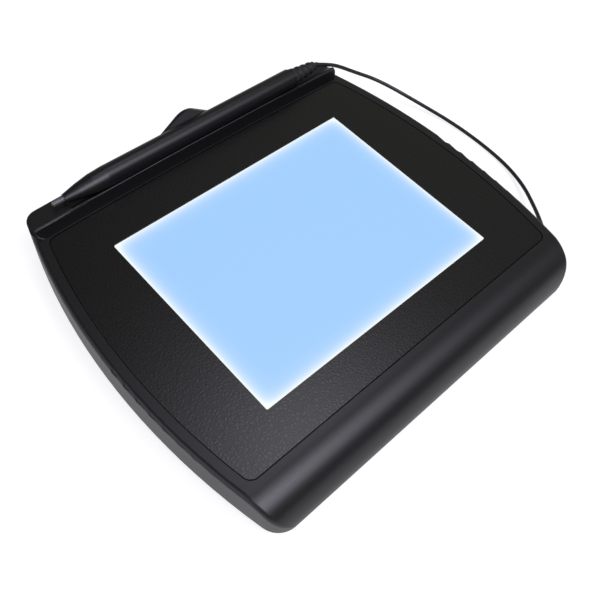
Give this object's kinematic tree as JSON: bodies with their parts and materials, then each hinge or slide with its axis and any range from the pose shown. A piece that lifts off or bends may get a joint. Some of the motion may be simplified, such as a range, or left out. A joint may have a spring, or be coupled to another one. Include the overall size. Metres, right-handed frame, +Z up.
{
  "type": "signature pad",
  "caption": "Desktop signature pad with bowed sides, a lit writing screen in a textured panel and a tethered pen lying in a raised tray along the rear.",
  "frame": {"origin": "centre of the footprint, on the surface that the feet stand on", "axes": "+X to the writer's right, along the pen; +Y away from the writer, towards the pen tray; +Z up"},
  "size_m": [0.2125, 0.155, 0.0324],
  "materials": {
    "housing_black": "black moulded ABS with a fine satin texture",
    "panel_grain": "black textured polymer film with a fine leather grain",
    "cover_black": "black moulded ABS",
    "lens_clear": "clear hard-coated writing surface",
    "gasket_foam": "black closed-cell foam",
    "frame_steel": "pressed tin-plated steel",
    "lit_cell": "display cell lit pale blue from behind",
    "light_guide": "clear moulded acrylic",
    "lamp_white": "white lamp bars",
    "tray_white": "white moulded plastic",
    "screw_zinc": "bright zinc-plated steel",
    "board_green": "green solder resist on glass-fibre board",
    "shield_foil": "thin aluminium sheet",
    "chip_black": "black moulded chip bodies",
    "socket_white": "cream moulded sockets",
    "flex_amber": "amber polyimide film",
    "soft_black": "black soft rubber",
    "cord_black": "black extruded PVC cord",
    "pen_black": "black moulded plastic with a low gloss",
    "nib_grey": "grey hard nylon",
    "spring_steel": "plain spring steel wire",
    "ferrite_grey": "dark grey ferrite with fine windings"
  },
  "bodies": {
    "pad": {"top_housing": "housing_black", "panel": "panel_grain", "screen_lens": "lens_clear", "screen_gasket": "gasket_foam", "lcd_frame": "frame_steel", "lcd_glass": "lit_cell", "light_guide": "light_guide", "light_bars": "lamp_white", "backlight_tray": "tray_white", "lcd_screws": "screw_zinc", "sensor_board": "board_green", "sensor_shield": "shield_foil", "main_board": "board_green", "board_chips": "chip_black", "board_connectors": "socket_white", "board_screws": "screw_zinc", "lcd_flex": "flex_amber", "sensor_flex": "flex_amber", "bottom_cover": "cover_black", "case_screws": "screw_zinc", "rubber_feet": "soft_black", "cable_grommet": "soft_black", "tether_gland": "soft_black", "tether_cord": "cord_black"},
    "pen": {"pen_barrel": "pen_black", "pen_cone": "pen_black", "nib_spring": "spring_steel", "pen_coil": "ferrite_grey", "pen_switch": "chip_black", "pen_board": "board_green", "pen_collar": "pen_black", "pen_boot": "soft_black"},
    "nib": {"pen_nib": "nib_grey"}
  },
  "joints": [
    {"name": "pen_lift", "type": "slide", "parent": "pad", "child": "pen", "axis": [0, 0, 1], "range_m": [0, 0.025], "deforming": ["tether_cord"]},
    {"name": "nib_press", "type": "slide", "parent": "pen", "child": "nib", "axis": [1, 0, 0], "range_m": [0, 0.0006], "stiffness_N_per_m": 800, "deforming": ["nib_spring"]}
  ]
}
